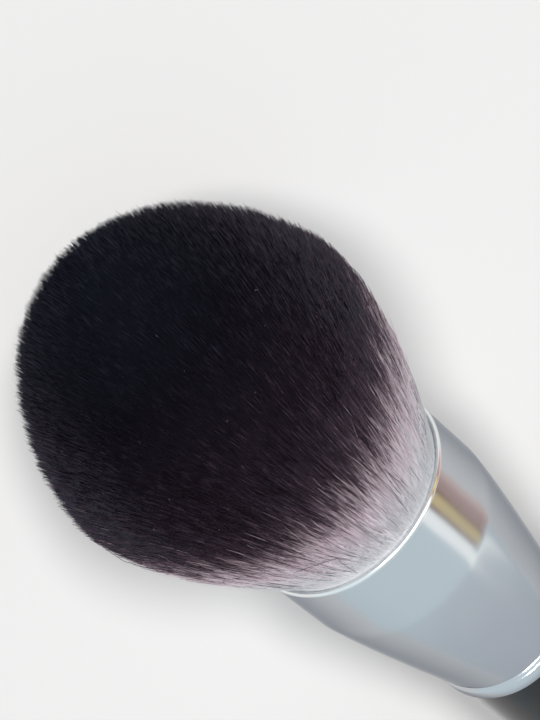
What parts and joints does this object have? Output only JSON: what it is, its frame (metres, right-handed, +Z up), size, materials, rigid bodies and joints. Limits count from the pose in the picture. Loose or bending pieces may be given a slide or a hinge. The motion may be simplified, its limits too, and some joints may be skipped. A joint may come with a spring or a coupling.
{
  "type": "makeup brush",
  "caption": "Large powder brush lying on its side: domed two-tone bristle head, chromed tapering ferrule with rolled rim and crimp, black lacquered turned handle.",
  "frame": {"origin": "middle of the bounding box of the brush as it lies, on the table under it", "axes": "+X along the lying brush towards the bristle tips, +Y across it, +Z up"},
  "size_m": [0.1952, 0.0398, 0.0394],
  "materials": {
    "bristles": "soft synthetic fibre, near-black at the tips, pale pinkish grey at the roots",
    "thread": "waxed thread",
    "epoxy": "cured amber epoxy",
    "ferrule_chrome": "mirror chrome",
    "handle_lacquer": "black high-gloss lacquer",
    "wood_glue": "dried glue"
  },
  "bodies": {
    "root": {"bristle_tuft": "bristles", "binding_thread": "thread", "root_glue": "epoxy", "ferrule": "ferrule_chrome", "handle": "handle_lacquer", "tenon_adhesive": "wood_glue"}
  },
  "joints": []
}
